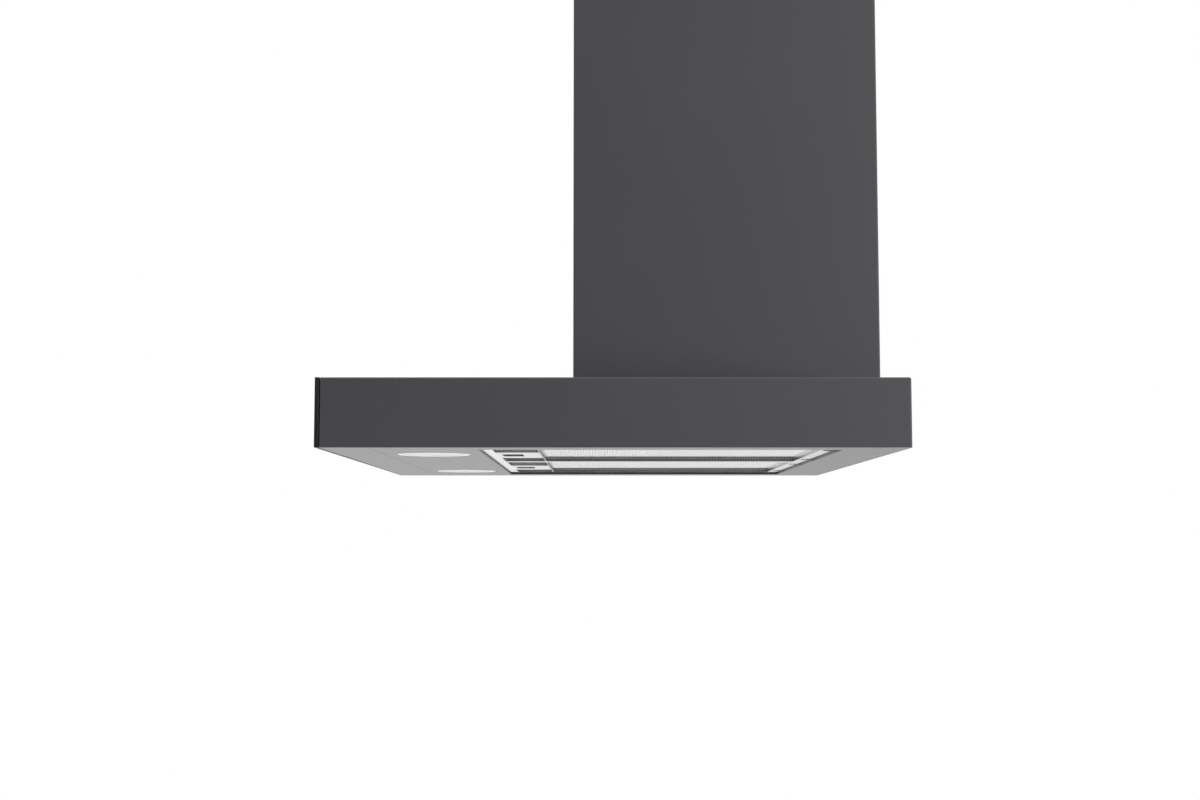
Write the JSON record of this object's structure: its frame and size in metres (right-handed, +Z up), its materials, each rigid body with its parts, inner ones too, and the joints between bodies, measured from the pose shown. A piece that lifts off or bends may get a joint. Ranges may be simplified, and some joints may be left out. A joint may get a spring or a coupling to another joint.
{
  "type": "chimney range hood",
  "caption": "Wall-mounted box range hood with a glass front, tilting grease filters, recessed lamps, a centrifugal blower and a telescopic chimney.",
  "frame": {"origin": "on the wall plane, on the hood's centre line, at the level of the canopy's underside", "axes": "+Z up, +Y into the wall, so the front faces -Y; +X is to the right when looking along +Y at the hood's front"},
  "size_m": [0.6, 0.5, 0.635],
  "materials": {
    "charcoal_steel": "satin charcoal coating on folded steel sheet",
    "black_glass": "black back-printed toughened glass, polished",
    "underside_steel": "charcoal coil coat on steel sheet, low satin",
    "filter_aluminium": "brushed and anodised aluminium",
    "mesh_aluminium": "expanded aluminium mesh, mill finish",
    "tray_aluminium": "satin anodised aluminium sheet",
    "latch_silver": "silver lacquer on moulded plastic",
    "latch_grey": "dark grey moulded plastic",
    "spring_steel": "bare spring steel",
    "zinc_steel": "zinc-plated steel",
    "galvanised": "galvanised sheet steel with spangle",
    "lamp_bezel": "polished ring",
    "lamp_lens": "frosted opal lens",
    "lamp_alu": "die-cast aluminium",
    "white_plastic": "white moulded plastic",
    "black_plastic": "black moulded plastic",
    "clear_acrylic": "clear acrylic light guide",
    "circuit_board": "green coated circuit board",
    "foam_tape": "black acrylic foam tape",
    "rubber": "black rubber",
    "casing_plastic": "moulded flame-retardant plastic",
    "impeller_plastic": "moulded plastic",
    "motor_steel": "coated steel motor shell",
    "shaft_steel": "ground steel",
    "capacitor_can": "white moulded can",
    "cable_jacket": "extruded cable jacket"
  },
  "bodies": {
    "hood": {"blower_box": "galvanised", "blower_screws": "zinc_steel", "cable_gland": "black_plastic", "canopy_shell": "charcoal_steel", "capacitor": "capacitor_can", "capacitor_clip": "spring_steel", "chimney_foot_screws": "zinc_steel", "chimney_lower": "charcoal_steel", "exhaust_collar": "black_plastic", "flap_pins": "zinc_steel", "front_carrier": "underside_steel", "glass_fascia": "black_glass", "glass_tape": "foam_tape", "lamp_bezel_left": "lamp_bezel", "lamp_bezel_right": "lamp_bezel", "lamp_body_left": "lamp_alu", "lamp_body_right": "lamp_alu", "lamp_clips": "spring_steel", "lamp_driver": "white_plastic", "lamp_lens_left": "lamp_lens", "lamp_lens_right": "lamp_lens", "motor_body": "motor_steel", "motor_cable": "cable_jacket", "motor_grommets": "rubber", "motor_screws": "zinc_steel", "motor_spider": "zinc_steel", "panel_screws": "zinc_steel", "pivot_hooks": "zinc_steel", "scroll_casing_left": "casing_plastic", "scroll_casing_right": "casing_plastic", "side_rails": "galvanised", "terminal_block": "white_plastic", "terminal_box": "white_plastic", "terminal_lid": "white_plastic", "touch_board": "circuit_board", "touch_case": "black_plastic", "touch_guide": "clear_acrylic", "underside_panel": "underside_steel", "wall_plate": "galvanised"},
    "filter_left": {"filter_frame_left": "filter_aluminium", "filter_mesh_left": "mesh_aluminium", "filter_tray_left": "tray_aluminium", "latch_plate_left": "latch_silver", "latch_spring_left": "spring_steel", "filter_pivots_left": "zinc_steel"},
    "latch_left": {"latch_slide_left": "latch_grey"},
    "flap_left": {"flap_left": "casing_plastic"},
    "filter_right": {"filter_frame_right": "filter_aluminium", "filter_mesh_right": "mesh_aluminium", "filter_tray_right": "tray_aluminium", "latch_plate_right": "latch_silver", "latch_spring_right": "spring_steel", "filter_pivots_right": "zinc_steel"},
    "latch_right": {"latch_slide_right": "latch_grey"},
    "flap_right": {"flap_right": "casing_plastic"},
    "fan": {"impeller": "impeller_plastic", "motor_shaft": "shaft_steel"},
    "upper_chimney": {"chimney_upper": "charcoal_steel", "chimney_bracket": "galvanised", "chimney_screws": "zinc_steel"}
  },
  "joints": [
    {"name": "filter_left_tilt", "type": "hinge", "parent": "hood", "child": "filter_left", "pos_m": [-0.1313, -0.0575, 0.0075], "axis": [1, 0, 0], "range_deg": [0, 75]},
    {"name": "filter_right_tilt", "type": "hinge", "parent": "hood", "child": "filter_right", "pos_m": [0.1313, -0.0575, 0.0075], "axis": [1, 0, 0], "range_deg": [0, 75]},
    {"name": "latch_left_pull", "type": "slide", "parent": "filter_left", "child": "latch_left", "axis": [0, 1, 0], "range_m": [0, 0.005], "stiffness_N_per_m": 250, "springref_m": -0.004, "deforming": ["latch_spring_left"]},
    {"name": "latch_right_pull", "type": "slide", "parent": "filter_right", "child": "latch_right", "axis": [0, 1, 0], "range_m": [0, 0.005], "stiffness_N_per_m": 250, "springref_m": -0.004, "deforming": ["latch_spring_right"]},
    {"name": "fan_spin", "type": "hinge", "parent": "hood", "child": "fan", "pos_m": [0, -0.1545, 0.19], "axis": [1, 0, 0], "continuous": true},
    {"name": "flap_left_swing", "type": "hinge", "parent": "hood", "child": "flap_left", "pos_m": [-0.0026, -0.113, 0.346], "axis": [0, 1, 0], "range_deg": [0, 80]},
    {"name": "flap_right_swing", "type": "hinge", "parent": "hood", "child": "flap_right", "pos_m": [0.0026, -0.113, 0.346], "axis": [0, -1, 0], "range_deg": [0, 80]},
    {"name": "chimney_slide", "type": "slide", "parent": "hood", "child": "upper_chimney", "axis": [0, 0, 1], "range_m": [0, 0.33]}
  ]
}
